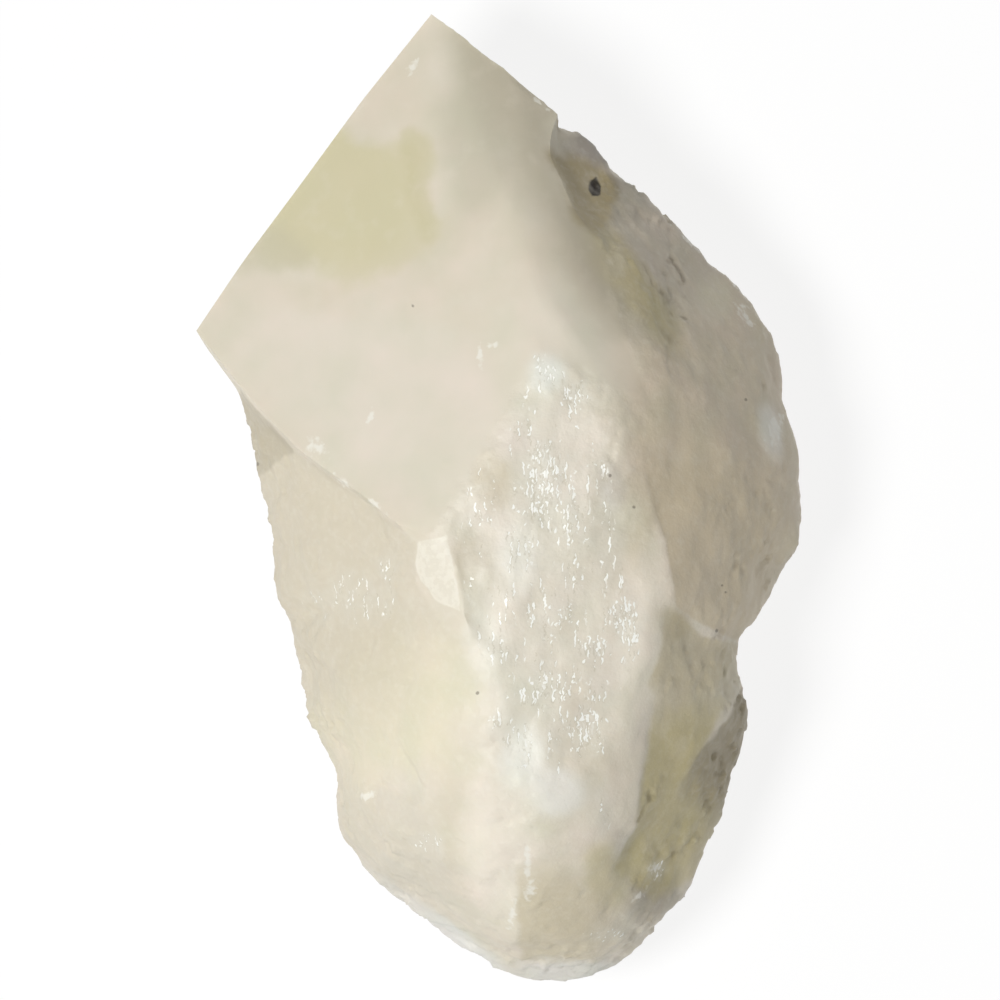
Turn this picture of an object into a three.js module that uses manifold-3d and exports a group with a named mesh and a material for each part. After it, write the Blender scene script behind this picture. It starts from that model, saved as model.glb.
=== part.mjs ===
// Milky quartz point with a cut tip on a rough, broken body: one solid crystal.
// Sizes are millimetres. It lies on its back: +X right, +Y toward the tip, +Z up.
import * as THREE from 'three';
import { ImprovedNoise } from 'three/addons/math/ImprovedNoise.js';
import { mergeVertices } from 'three/addons/utils/BufferGeometryUtils.js';
import Module from 'manifold-3d';

const stoneLength = 120;        // apex to the broken root, along Y
const restCut = 0.8;            // taken off the underside to leave a true flat to lie on

// Longest mesh edge on each surface. From a surface with shorter edges to one with longer edges it
// grows this much per millimetre, so that no thin slivers form between them.
const meshEdge = { cut: 8, rough: 3.9, scar: 2.6 };
const meshGrowth = 0.4;

// Hummocks on broken surfaces: how far they wander, how wide they are, how drawn out along Y,
// and how far the whole surface swells to make good what rounding took off.
const roughBreak = { depth: 0.6, size: 7, streak: 1, swell: 0.3 };
const scarBreak = { depth: 0.45, size: 3.2, streak: 2.2, swell: 0 };
const fineHummocks = { share: 0.5, finer: 2.3, shift: 7 };
const roughFade = 3;            // broken surfaces calm down this near a crisp edge or a cut face
const scarFade = 1.5;
const scarLowest = 40;          // skin under the scar's outline and lower than this is underside

// Rounding of the edges that aren't crisp.
const wearRounds = 6;
const wearPull = 0.6;
const wearPayBack = 1.03;
const wearReach = 3.5;          // rounding fades out this near a crisp edge
const outlineWear = 1.5;        // the widest line is rounded as if this far from a crisp edge

// The small dark pit behind the tip's ridge.
const pit = { mouth: [11.8, 38.6, 29.3], reach: 0.7, drawnOut: 1.5, deep: 1.6 };

// The cut face on the upper left is a flat kite, which climbs to the right and away from the tip.
const kiteCorner = [-37.7, 20.8, 21.0];
const kiteClimb = { perRight: 0.6, perUp: -0.37 };
const onKite = ([x, y]) => [
  x,
  y,
  kiteCorner[2] + kiteClimb.perRight * (x - kiteCorner[0]) + kiteClimb.perUp * (y - kiteCorner[1]),
];

// Where the crystal is widest, clockwise from the apex.
const kiteEdge = [
  [-37.7, 20.8],
  [-31.9, 29.4],
  [-24.7, 39.0],
  [-17.3, 49.1],
  [-8.5, 60.0],
].map(onKite);
const tipRightEdge = [
  [-5.5, 57.8, 25.9],
  [-1.8, 54.8, 28.0],
  [2.5, 51.5, 29.7],
  [7.1, 47.4, 30.2],
];
const shoulderEdge = [
  [7.2, 45.9, 28.0],
  [9.9, 44.9, 27.0],
  [12.4, 42.8, 26.0],
  [13.5, 41.2, 25.0],
  [13.5, 40.4, 25.5],
  [17.6, 38.2, 25.0],
  [20.2, 35.7, 24.0],
  [22.6, 33.4, 23.5],
  [26.1, 30.1, 22.5],
  [25.9, 29.1, 22.5],
  [28.2, 27.6, 21.5],
  [31.1, 24.4, 19.5],
  [34.3, 21.2, 18.5],
  [35.0, 17.0, 18.0],
  [35.1, 13.5, 18.0],
  [34.8, 12.2, 18.5],
  [35.9, 11.1, 19.5],
  [36.6, 7.7, 20.0],
  [37.6, 4.3, 20.0],
  [37.7, -0.1, 19.0],
  [37.2, -6.4, 18.0],
  [34.8, -9.9, 18.5],
  [32.8, -13.3, 20.5],
  [31.7, -16.1, 22.0],
  [29.2, -17.4, 25.5],
];
const rootEdge = [
  [29.9, -21.7, 24.0],
  [29.8, -23.0, 23.0],
  [30.9, -27.3, 20.5],
  [30.2, -29.5, 19.0],
  [28.8, -34.0, 18.0],
  [28.5, -37.4, 17.5],
  [27.0, -41.3, 17.0],
  [25.5, -44.9, 17.0],
  [24.6, -48.1, 17.5],
  [21.3, -51.7, 17.5],
  [18.0, -56.0, 16.5],
  [13.9, -58.3, 15.5],
  [9.3, -60.1, 15.0],
  [2.3, -59.4, 15.0],
  [-3.1, -56.9, 15.5],
  [-7.8, -53.2, 16.0],
  [-12.8, -49.9, 17.0],
  [-17.0, -46.2, 17.5],
  [-20.2, -41.6, 18.0],
  [-20.1, -37.1, 19.0],
  [-19.9, -34.7, 19.0],
  [-21.3, -31.2, 18.0],
  [-23.5, -27.4, 17.0],
  [-25.3, -19.8, 16.5],
  [-25.9, -15.5, 17.5],
  [-27.7, -13.4, 18.5],
  [-27.9, -9.3, 18.5],
  [-28.3, -5.0, 18.0],
  [-30.1, 2.7, 17.5],
  [-30.7, 6.4, 18.5],
  [-31.9, 12.5, 20.5],
];

// Front of the cut tip.
const ledgeTop = [
  [-32.0, 13.7],
  [-28.4, 9.7],
  [-24.9, 6.1],
  [-21.0, 3.3],
  [-17.3, 0.8],
  [-13.6, -2.3],
  [-10.1, -5.0],
].map(onKite);
const kiteRight = [
  [-8.0, -3.4],
  [-5.4, 0.8],
  [-3.6, 4.3],
  [-0.8, 8.2],
  [1.6, 13.5],
  [4.4, 20.9],
  [2.5, 29.6],
  [-0.6, 37.0],
  [-3.7, 44.4],
  [-6.4, 51.8],
].map(onKite);
const tipTurn = [
  [-2.2, 49.4, 31.1],
  [1.3, 42.6, 35.6],
  [3.7, 37.0, 38.5],
  [6.2, 29.6, 42.8],
  [8.9, 20.9, 46.9],
];
const tipTurnRight = [
  [2.5, 48.1, 32.0],
  [4.4, 43.2, 34.5],
  [6.3, 37.0, 37.4],
  [8.9, 29.4, 41.5],
  [11.9, 21.6, 45.6],
];
const tipRidge = [
  [6.6, 45.9, 31.3],
  [6.1, 44.4, 32.4],
  [6.1, 42.0, 34.0],
  [7.0, 40.5, 34.7],
  [7.7, 38.9, 35.4],
  [8.3, 37.3, 36.0],
  [9.1, 35.5, 36.8],
  [10.8, 33.1, 37.8],
  [12.4, 31.7, 38.0],
];
const tipRidgeSoft = [
  [13.4, 27.1, 40.6],
  [14.2, 23.4, 42.6],
  [16.1, 19.1, 44.2],
  [17.5, 14.8, 44.6],
  [18.3, 11.1, 44.8],
];

// Front plateau with the scar, and the strip on its right.
const scarRim = [
  [7.4, 17.0, 47.6],
  [11.4, 12.3, 47.3],
  [13.1, 7.4, 47.0],
  [14.6, -0.1, 46.8],
  [16.3, -7.5, 46.4],
  [17.8, -13.9, 45.4],
  [17.3, -19.2, 44.8],
  [14.6, -24.8, 44.4],
  [12.4, -30.3, 43.8],
  [7.4, -34.7, 44.4],
  [2.5, -33.2, 45.6],
];
const scarLeft = [
  [-6.4, -4.5, 47.4],
  [-5.4, -8.1, 47.7],
  [-4.5, -13.8, 47.7],
  [-3.3, -17.4, 47.8],
  [-1.1, -22.6, 47.6],
];
const scarFloor = [
  [5.0, 12.3, 47.9],
  [0.0, -0.1, 48.0],
  [6.2, 4.9, 47.6],
  [9.3, -2.5, 47.4],
  [1.3, -8.7, 47.8],
  [7.4, -12.4, 47.2],
  [13.0, -11.2, 46.6],
  [2.5, -18.6, 47.2],
  [9.9, -22.3, 46.0],
  [5.0, -28.5, 45.9],
];
const stripEdge = [
  [17.0, 6.7, 45.6],
  [18.0, 2.4, 45.6],
  [18.7, -0.9, 45.5],
  [20.1, -5.0, 45.0],
  [20.8, -9.3, 44.5],
  [21.3, -12.9, 43.8],
];
const frontEdge = [
  [19.7, -12.9, 44.4],
  [19.4, -15.9, 44.0],
  [19.2, -19.2, 43.5],
  [17.3, -22.8, 43.6],
  [15.8, -25.5, 43.6],
  [14.6, -29.7, 43.1],
  [13.9, -33.7, 42.3],
  [13.5, -39.6, 40.3],
];

// Small bright facet under the foot of the kite.
const brightFacet = [
  [-9.6, -5.6, 46.5],
  [-10.1, -8.5, 45.2],
  [-8.6, -10.7, 45.5],
  [-6.6, -12.8, 46.6],
];

// Foot of the ledge, and the broken left side.
const ledgeFoot = [
  [-28.6, 9.1, 25.0],
  [-25.2, 5.6, 29.0],
  [-21.2, 2.7, 33.0],
  [-17.5, 0.2, 36.6],
  [-13.8, -2.9, 40.6],
  [-10.5, -6.1, 43.6],
];
const leftSide = [
  [-29.4, 5.5, 23.0],
  [-25.9, -0.1, 27.0],
  [-26.5, -5.6, 24.5],
  [-20.4, -3.8, 33.0],
  [-15.4, -7.5, 37.6],
  [-24.7, -11.2, 27.0],
  [-19.1, -12.4, 33.2],
  [-12.9, -14.9, 39.4],
  [-7.4, -17.4, 44.6],
  [-23.5, -18.6, 26.0],
  [-18.5, -22.3, 32.2],
  [-12.3, -23.5, 38.4],
  [-6.1, -24.8, 44.6],
  [-21.6, -26.6, 25.0],
  [-17.3, -30.3, 31.0],
  [-18.5, -32.9, 25.4],
  [-15.4, -33.2, 30.6],
  [-11.7, -33.4, 35.4],
  [-7.4, -32.8, 42.0],
  [-2.4, -30.3, 46.0],
];

// Block at the lower left and the rounded root.
const blockTop = [
  [-18.5, -35.4, 25.6],
  [-15.8, -35.5, 31.0],
  [-12.3, -35.9, 35.4],
  [-8.6, -36.4, 40.0],
];
const blockFace = [
  [-18.3, -39.0, 25.6],
  [-15.4, -40.8, 30.0],
  [-11.1, -39.9, 35.2],
  [-14.8, -44.8, 25.6],
  [-11.7, -44.8, 30.2],
  [-9.9, -48.6, 25.2],
  [-8.9, -43.3, 34.6],
];
const blockEdge = [
  [-7.9, -40.4, 38.8],
  [-6.8, -44.6, 36.8],
  [-4.5, -48.5, 33.8],
  [-2.4, -52.2, 29.2],
];
const rootStep = [
  [1.6, -47.0, 38.6],
  [1.8, -50.5, 35.6],
  [2.0, -54.2, 30.4],
];
const rootFront = [
  [-5.5, -50.7, 26.5],
  [-2.4, -37.1, 44.0],
  [2.5, -38.4, 43.8],
  [8.1, -39.6, 42.6],
  [-1.8, -44.6, 40.0],
  [2.3, -44.8, 40.0],
  [0.8, -47.5, 37.4],
  [0.9, -50.5, 34.4],
  [1.1, -53.9, 29.4],
  [6.8, -45.8, 39.0],
  [11.2, -43.3, 39.0],
  [6.2, -51.3, 34.2],
  [7.4, -55.7, 27.0],
  [11.2, -49.5, 34.0],
  [13.6, -44.6, 36.8],
  [13.0, -53.8, 27.0],
  [17.3, -48.3, 28.0],
  [17.3, -52.6, 22.5],
  [0.0, -55.4, 24.5],
];

// Lower right panel, with a steep dark flank beyond its diagonal edge.
const panelTop = [
  [21.5, -13.8, 41.0],
  [23.5, -15.4, 37.4],
  [25.5, -16.3, 34.4],
  [27.2, -16.9, 31.8],
];
const panelLeft = [
  [20.8, -18.0, 41.0],
  [19.3, -23.8, 41.0],
  [18.1, -29.1, 40.4],
  [17.3, -33.7, 39.4],
  [16.3, -39.0, 37.6],
];
const panelFace = [
  [24.7, -19.2, 34.6],
  [22.9, -24.8, 36.0],
  [20.4, -31.0, 36.2],
  [19.2, -35.9, 35.2],
];
const panelDiagonal = [
  [27.5, -27.0, 29.4],
  [25.2, -30.2, 31.6],
  [23.6, -32.4, 32.6],
  [22.3, -35.4, 32.2],
  [19.2, -39.6, 32.0],
  [15.8, -43.3, 33.0],
];
const flank = [
  [27.5, -31.0, 24.0],
  [25.7, -35.9, 25.0],
  [23.5, -40.2, 25.0],
  [20.4, -44.6, 25.0],
  [22.3, -47.6, 20.5],
];

// Shoulder: its lower edge overhangs the panel.
const overhang = [
  [23.4, -14.5, 39.8],
  [25.4, -15.6, 36.8],
  [27.2, -16.4, 34.0],
];
const pocketFloor = [
  [7.0, 43.7, 30.6],
  [6.8, 42.0, 31.4],
  [7.6, 40.2, 31.8],
  [8.4, 38.6, 32.2],
  [9.1, 37.3, 32.8],
  [9.9, 35.7, 33.6],
  [11.4, 33.4, 35.0],
  [12.9, 31.8, 36.6],
  [9.2, 42.6, 28.0],
  [11.0, 40.1, 28.2],
  [12.0, 37.0, 30.0],
  [14.2, 38.5, 27.2],
  [13.1, 34.8, 31.8],
];
const shoulder = [
  [15.5, 35.8, 30.4],
  [18.0, 34.3, 28.8],
  [14.6, 31.5, 35.6],
  [18.6, 30.2, 31.6],
  [22.9, 29.4, 26.0],
  [16.7, 25.9, 39.6],
  [20.8, 25.3, 33.6],
  [25.4, 25.6, 26.6],
  [19.2, 20.3, 40.4],
  [23.5, 20.3, 34.0],
  [28.2, 21.6, 26.6],
  [31.5, 20.9, 22.6],
  [23.3, 14.8, 38.8],
  [27.5, 14.8, 32.8],
  [31.9, 15.4, 25.2],
  [20.3, 10.8, 43.0],
  [24.7, 8.6, 38.8],
  [29.4, 8.6, 32.4],
  [33.2, 9.2, 26.4],
  [23.5, 2.4, 40.9],
  [27.7, 1.2, 36.6],
  [31.8, 2.4, 30.8],
  [35.3, 3.6, 24.6],
  [24.7, -5.0, 40.2],
  [28.7, -5.6, 34.8],
  [32.8, -4.4, 28.2],
  [25.2, -11.2, 38.4],
  [29.4, -11.4, 31.8],
  [31.2, -13.9, 27.0],
];

// Underside: a flat to lie on, and the way up to the widest line.
const restFlat = [
  [-8.6, 28.9, 0.0],
  [-15.4, 18.2, 0.0],
  [-18.9, 6.1, 0.0],
  [-19.7, -7.5, 0.0],
  [-17.0, -22.3, 0.0],
  [-12.6, -34.7, 0.0],
  [-6.1, -43.6, 0.0],
  [3.7, -48.0, 0.0],
  [12.1, -45.5, 0.0],
  [16.7, -35.9, 0.0],
  [18.8, -22.3, 0.0],
  [20.3, -7.5, 0.0],
  [19.2, 8.6, 0.0],
  [13.3, 20.9, 0.0],
  [4.0, 29.4, 0.0],
];
const backRidge = [
  [-8.5, 54.3, 19.5],
  [-8.5, 46.9, 13.7],
  [-8.6, 38.2, 7.0],
];
const backSides = [
  [-30.1, 12.4, 8.5],
  [-25.4, 2.4, 9.5],
  [-25.2, -7.5, 11.5],
  [-22.5, -18.6, 7.5],
  [-20.4, -29.1, 9.5],
  [-17.0, -38.4, 6.5],
  [-11.1, -47.0, 9.0],
  [-2.4, -53.0, 6.0],
  [7.2, -55.7, 7.5],
  [15.1, -52.6, 6.5],
  [20.8, -47.0, 9.0],
  [23.5, -39.0, 6.5],
  [25.2, -29.7, 9.5],
  [25.0, -19.2, 8.0],
  [29.4, -11.2, 10.5],
  [31.2, -2.5, 7.5],
  [30.9, 6.1, 10.0],
  [28.8, 14.2, 7.5],
  [27.0, 21.2, 10.5],
  [22.0, 26.5, 9.0],
  [17.3, 32.3, 12.5],
  [12.4, 38.0, 11.5],
  [7.7, 42.6, 15.0],
];

const outline = [...kiteEdge, ...tipRightEdge, ...shoulderEdge, ...rootEdge];
const front = [
  ...ledgeTop, ...kiteRight, ...tipTurn, ...tipTurnRight, ...tipRidge, ...tipRidgeSoft,
  ...scarRim, ...scarLeft, ...scarFloor, ...stripEdge, ...frontEdge, ...brightFacet,
  ...ledgeFoot, ...leftSide, ...blockTop, ...blockFace, ...blockEdge, ...rootStep, ...rootFront,
  ...panelTop, ...panelLeft, ...panelFace, ...panelDiagonal, ...flank,
  ...overhang, ...pocketFloor, ...shoulder,
];
const back = [...restFlat, ...backRidge, ...backSides];
const crispEdges = [
  [...kiteEdge, ...tipRightEdge, ...tipRidge],
  [kiteEdge[0], ...ledgeTop],
  [kiteEdge.at(-1), ...backRidge, restFlat[0]],
  [ledgeTop.at(-1), scarLeft[0]],
  scarLeft,
  [...brightFacet, scarLeft[2]],
  stripEdge,
  frontEdge.slice(0, 5),
  [stripEdge.at(-1), ...overhang, shoulderEdge.at(-1)],
  panelDiagonal,
  [blockTop.at(-1), ...blockEdge],
  rootStep,
];

// Regions seen from above.
const kite = [...kiteEdge, ...kiteRight.toReversed(), ...ledgeTop.toReversed()];
const tip = [
  ...kiteEdge, ...tipRightEdge, ...tipRidge, ...tipRidgeSoft,
  ...kiteRight.slice(0, 6).toReversed(), ...ledgeTop.toReversed(),
];
const scar = [...scarLeft, ...scarRim.toReversed(), ...kiteRight.slice(0, 6).toReversed()];

// Is a point, seen from above, inside this outline?
function inside([x, y], ring) {
  let within = false;
  ring.forEach(([x1, y1], i) => {
    const [x2, y2] = ring[(i + 1) % ring.length];
    if ((y1 > y) !== (y2 > y) && x < x1 + ((y - y1) / (y2 - y1)) * (x2 - x1)) {
      within = !within;
    }
  });
  return within;
}

// Circle through three corners, seen from above.
function circleOf(corners) {
  const [[ax, ay], [bx, by], [cx, cy]] = corners;
  const d = 2 * (ax * (by - cy) + bx * (cy - ay) + cx * (ay - by));
  const [a2, b2, c2] = corners.map(([x, y]) => x * x + y * y);
  const x = (a2 * (by - cy) + b2 * (cy - ay) + c2 * (ay - by)) / d;
  const y = (a2 * (cx - bx) + b2 * (ax - cx) + c2 * (bx - ax)) / d;
  return { x, y, reach: (ax - x) ** 2 + (ay - y) ** 2 };
}

// Triangles over scattered points, as even as they can be (Delaunay), kept to the outline.
function drape(points, ring) {
  const far = 100 * stoneLength;
  const all = [...points, [-far, -far], [far, -far], [0, far]];
  const count = points.length;
  const made = (face) => ({ face, circle: circleOf(face.map((i) => all[i])) });
  let net = [made([count, count + 1, count + 2])];
  points.forEach(([x, y], i) => {
    const touched = net.filter(({ circle: c }) => (x - c.x) ** 2 + (y - c.y) ** 2 < c.reach);
    const edges = touched.flatMap(({ face: [a, b, c] }) => [[a, b], [b, c], [c, a]]);
    const rim = edges.filter(([a, b]) => !edges.some(([c, d]) => a === d && b === c));
    net = net.filter((entry) => !touched.includes(entry));
    net.push(...rim.map(([a, b]) => made([a, b, i])));
  });
  return net
    .map(({ face }) => face)
    .filter((face) => face.every((i) => i < count))
    .filter((face) => {
      const corners = face.map((i) => all[i]);
      return inside([0, 1].map((k) => (corners[0][k] + corners[1][k] + corners[2][k]) / 3), ring);
    });
}

// Front and back share the outline's points, so they close into one skin.
function closedSkin() {
  const frontPoints = [...outline, ...front];
  const frontFaces = drape(frontPoints, outline);
  const backFaces = drape([...outline, ...back], outline)
    .map(([a, b, c]) => [c, b, a])
    .map((face) => face.map((i) => (i < outline.length ? i : i + front.length)));
  const skin = new THREE.BufferGeometry();
  const points = [...frontPoints, ...back];
  skin.setAttribute('position', new THREE.Float32BufferAttribute(points.flat(), 3));
  skin.setIndex([...frontFaces, ...backFaces].flat());
  return skin;
}

// Every edge longer than the mesh may be there gets a middle point, until none is left.
function splitLongEdges(geometry) {
  const position = geometry.attributes.position;
  const vertices = Array.from(
    { length: position.count },
    (_, i) => new THREE.Vector3().fromBufferAttribute(position, i),
  );
  let faces = Array.from(
    { length: geometry.index.count / 3 },
    (_, i) => [0, 1, 2].map((k) => geometry.index.getX(3 * i + k)),
  );
  let before = 0;
  while (faces.length > before) {
    before = faces.length;
    const middles = new Map();
    const middleOf = (a, b) => {
      const key = Math.min(a, b) + ' ' + Math.max(a, b);
      if (!middles.has(key)) {
        const between = vertices[a].clone().lerp(vertices[b], 0.5);
        const long = vertices[a].distanceTo(vertices[b]) > longestEdge(between);
        if (long) {
          vertices.push(between);
        }
        middles.set(key, long ? vertices.length - 1 : -1);
      }
      return middles.get(key);
    };
    faces = faces.flatMap((face) => {
      const middle = face.map((a, k) => middleOf(a, face[(k + 1) % 3]));
      return splitFace(face, middle, vertices);
    });
  }
  const split = new THREE.BufferGeometry();
  const coordinates = vertices.flatMap((vertex) => vertex.toArray());
  split.setAttribute('position', new THREE.Float32BufferAttribute(coordinates, 3));
  split.setIndex(faces.flat());
  return split;
}

function longestEdge(point) {
  const plan = point.toArray();
  if (inside(plan, scar) && point.z > scarLowest) {
    return meshEdge.scar;
  }
  const besideScar = meshEdge.scar + meshGrowth * distanceToEdge(point, scar);
  const besideKite = meshEdge.rough + meshGrowth * distanceToEdge(point, kite);
  const longest = inside(plan, kite) ? Math.min(meshEdge.cut, besideKite) : meshEdge.rough;
  return Math.min(longest, besideScar);
}

// One triangle in two, three or four, by how many of its edges have a middle point.
function splitFace(face, middle, vertices) {
  const cuts = middle.filter((m) => m >= 0).length;
  if (cuts === 0) {
    return [face];
  }
  if (cuts === 3) {
    const corners = face.map((a, k) => [a, middle[k], middle[(k + 2) % 3]]);
    return [...corners, middle];
  }
  // turned so that the first edge is cut and, with two cuts, the last edge is whole
  let turn = 0;
  while (middle[turn] < 0 || (cuts === 2 && middle[(turn + 2) % 3] >= 0)) {
    turn += 1;
  }
  const [a, b, c] = [0, 1, 2].map((k) => face[(k + turn) % 3]);
  const [ab, bc] = [0, 1].map((k) => middle[(k + turn) % 3]);
  if (cuts === 1) {
    return [[a, ab, c], [ab, b, c]];
  }
  if (vertices[a].distanceTo(vertices[bc]) < vertices[ab].distanceTo(vertices[c])) {
    return [[ab, b, bc], [a, ab, bc], [a, bc, c]];
  }
  return [[ab, b, bc], [a, ab, c], [ab, bc, c]];
}

const line = new THREE.Line3();
const nearest = new THREE.Vector3();

function distanceToEdge(point, edge) {
  const lengths = edge.slice(1).map((end, i) => {
    line.start.set(...edge[i]);
    line.end.set(...end);
    line.closestPointToPoint(point, true, nearest);
    return nearest.distanceTo(point);
  });
  return Math.min(...lengths);
}

const distanceToCrisp = (point) => Math.min(...crispEdges.map((edge) => distanceToEdge(point, edge)));

// Moves each vertex toward the middle of its neighbours, or away from it when the pull is negative.
function pullTogether(geometry, pulls) {
  const position = geometry.attributes.position;
  const point = new THREE.Vector3();
  const sums = pulls.map(() => ({ total: new THREE.Vector3(), count: 0 }));
  for (let i = 0; i < geometry.index.count; i += 1) {
    const here = sums[geometry.index.getX(i)];
    const next = i % 3 === 2 ? i - 2 : i + 1;
    here.total.add(point.fromBufferAttribute(position, geometry.index.getX(next)));
    here.count += 1;
  }
  sums.forEach(({ total, count }, i) => {
    point.fromBufferAttribute(position, i).lerp(total.divideScalar(count), pulls[i]);
    position.setXYZ(i, point.x, point.y, point.z);
  });
}

// Rounds every edge that isn't crisp. Each pull in is paid back, so the stone doesn't shrink.
function wearEdges(geometry) {
  const position = geometry.attributes.position;
  const point = new THREE.Vector3();
  const pulls = Array.from({ length: position.count }, (_, i) => {
    point.fromBufferAttribute(position, i);
    const near = Math.min(distanceToCrisp(point), outlineWear + distanceToEdge(point, outline));
    return wearPull * THREE.MathUtils.smoothstep(near, 0, wearReach);
  });
  for (let round = 0; round < wearRounds; round += 1) {
    pullTogether(geometry, pulls);
    pullTogether(geometry, pulls.map((pull) => -wearPayBack * pull));
  }
}

const noise = new ImprovedNoise();

// Hummocks of two sizes everywhere but on the cut faces, drawn out along Y in the scar.
function roughen(geometry) {
  const { share, finer, shift } = fineHummocks;
  geometry.computeVertexNormals();
  const position = geometry.attributes.position;
  const point = new THREE.Vector3();
  const outward = new THREE.Vector3();
  for (let i = 0; i < position.count; i += 1) {
    point.fromBufferAttribute(position, i);
    outward.fromBufferAttribute(geometry.attributes.normal, i);
    const inScar = inside(point.toArray(), scar) && point.z > scarLowest;
    const { depth, size, streak, swell } = inScar ? scarBreak : roughBreak;
    const [x, y, z] = [point.x / size, point.y / (size * streak), point.z / size];
    const [fineX, fineY, fineZ] = [x, y, z].map((v) => finer * v + shift);
    const wander = noise.noise(x, y, z) + share * noise.noise(fineX, fineY, fineZ);
    point.addScaledVector(outward, (swell + depth * wander) * fadeNearCuts(point, inScar));
    position.setXYZ(i, point.x, point.y, point.z);
  }
  geometry.deleteAttribute('normal');
}

function fadeNearCuts(point, inScar) {
  if (inside(point.toArray(), tip)) {
    return 0;
  }
  const toTip = Math.min(distanceToEdge(point, tipRidgeSoft), distanceToEdge(point, kiteRight));
  return inScar
    ? THREE.MathUtils.smoothstep(toTip, 0, scarFade)
    : THREE.MathUtils.smoothstep(Math.min(distanceToCrisp(point), toTip), 0, roughFade);
}

const wasm = await Module();
wasm.setup();

function solid(geometry) {
  return new wasm.Manifold(new wasm.Mesh({
    numProp: 3,
    vertProperties: geometry.attributes.position.array,
    triVerts: new Uint32Array(geometry.index.array),
  }));
}

// A ready-made shape with its corners joined, so that it is one closed skin.
function welded(shape) {
  shape.deleteAttribute('normal');
  shape.deleteAttribute('uv');
  return mergeVertices(shape, 0.001);
}

const skin = splitLongEdges(closedSkin());
wearEdges(skin);
roughen(skin);
let crystal = solid(skin);

const hollow = new THREE.IcosahedronGeometry(pit.reach, 1);
hollow.scale(1, pit.drawnOut, pit.deep);
hollow.translate(...pit.mouth);
crystal = crystal.subtract(solid(welded(hollow)));

const under = new THREE.BoxGeometry(2 * stoneLength, 2 * stoneLength, stoneLength);
under.translate(0, 0, restCut - stoneLength / 2);
crystal = crystal.subtract(solid(welded(under)));

const { vertProperties, triVerts } = crystal.getMesh();
const surface = new THREE.BufferGeometry();
surface.setAttribute('position', new THREE.Float32BufferAttribute(vertProperties, 3));
surface.setIndex(Array.from(triVerts));
surface.computeBoundingBox();
const box = surface.boundingBox;
const middle = box.getCenter(new THREE.Vector3());
const trim = stoneLength / (box.max.y - box.min.y);
surface.translate(-middle.x, -middle.y, -box.min.z);
surface.scale(trim, trim, trim);
surface.computeVertexNormals();

const quartz = new THREE.Mesh(
  surface,
  new THREE.MeshStandardMaterial({ name: 'milky_quartz', color: 0xd9d2bf, roughness: 0.5 }),
);
quartz.name = 'quartz_point';

const group = new THREE.Group();
group.add(quartz);
export default group;
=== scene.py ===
import math

import bmesh
import bpy
import numpy as np
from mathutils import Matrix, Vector, noise


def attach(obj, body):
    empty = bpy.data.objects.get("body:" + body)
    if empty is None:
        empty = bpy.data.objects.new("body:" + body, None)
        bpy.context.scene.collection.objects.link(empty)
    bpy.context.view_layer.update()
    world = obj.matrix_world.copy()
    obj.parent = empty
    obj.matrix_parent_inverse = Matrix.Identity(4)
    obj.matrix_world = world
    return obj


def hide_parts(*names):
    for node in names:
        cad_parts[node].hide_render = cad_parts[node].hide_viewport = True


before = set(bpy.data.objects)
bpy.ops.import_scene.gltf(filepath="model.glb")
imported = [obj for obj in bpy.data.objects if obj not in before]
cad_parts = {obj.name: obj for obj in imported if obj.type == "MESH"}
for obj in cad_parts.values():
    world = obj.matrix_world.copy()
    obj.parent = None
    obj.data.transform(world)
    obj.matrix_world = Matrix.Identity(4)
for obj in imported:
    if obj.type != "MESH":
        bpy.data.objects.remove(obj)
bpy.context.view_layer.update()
mm = 0.001
noiseSeed = 5                  # unset, the noise vectors would follow the clock
noise.seed_set(noiseSeed)
print("frame loaded")


class Value:
    # one socket's number, so that shader maths reads as an expression
    def __init__(self, sheet, socket):
        self.sheet = sheet
        self.socket = socket

    def maths(self, operation, *numbers):
        return self.sheet.add("ShaderNodeMath", {"operation": operation}, dict(enumerate(numbers)))

    def __add__(self, other):
        return self.maths("ADD", self, other)

    def __sub__(self, other):
        return self.maths("SUBTRACT", self, other)

    def __rsub__(self, other):
        return self.maths("SUBTRACT", other, self)

    def __mul__(self, other):
        return self.maths("MULTIPLY", self, other)

    def __truediv__(self, other):
        return self.maths("DIVIDE", self, other)

    def __rtruediv__(self, other):
        return self.maths("DIVIDE", other, self)

    __radd__ = __add__
    __rmul__ = __mul__

    def largest(self, other):
        return self.maths("MAXIMUM", self, other)

    def smallest(self, other):
        return self.maths("MINIMUM", self, other)

    def step(self, low, high):
        # 0 up to low, 1 from high on and smooth between; with low over high it falls
        ends = (low, high, 0.0, 1.0) if low < high else (high, low, 1.0, 0.0)
        names = ("From Min", "From Max", "To Min", "To Max")
        sockets = {"Value": self, **dict(zip(names, ends))}
        return self.sheet.add("ShaderNodeMapRange", {"interpolation_type": "SMOOTHSTEP"}, sockets)


cellBend = {"wavesPerMm": 0.3, "reach": (2.4, 0.5, 2.4)}       # its reach is in cells


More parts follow.
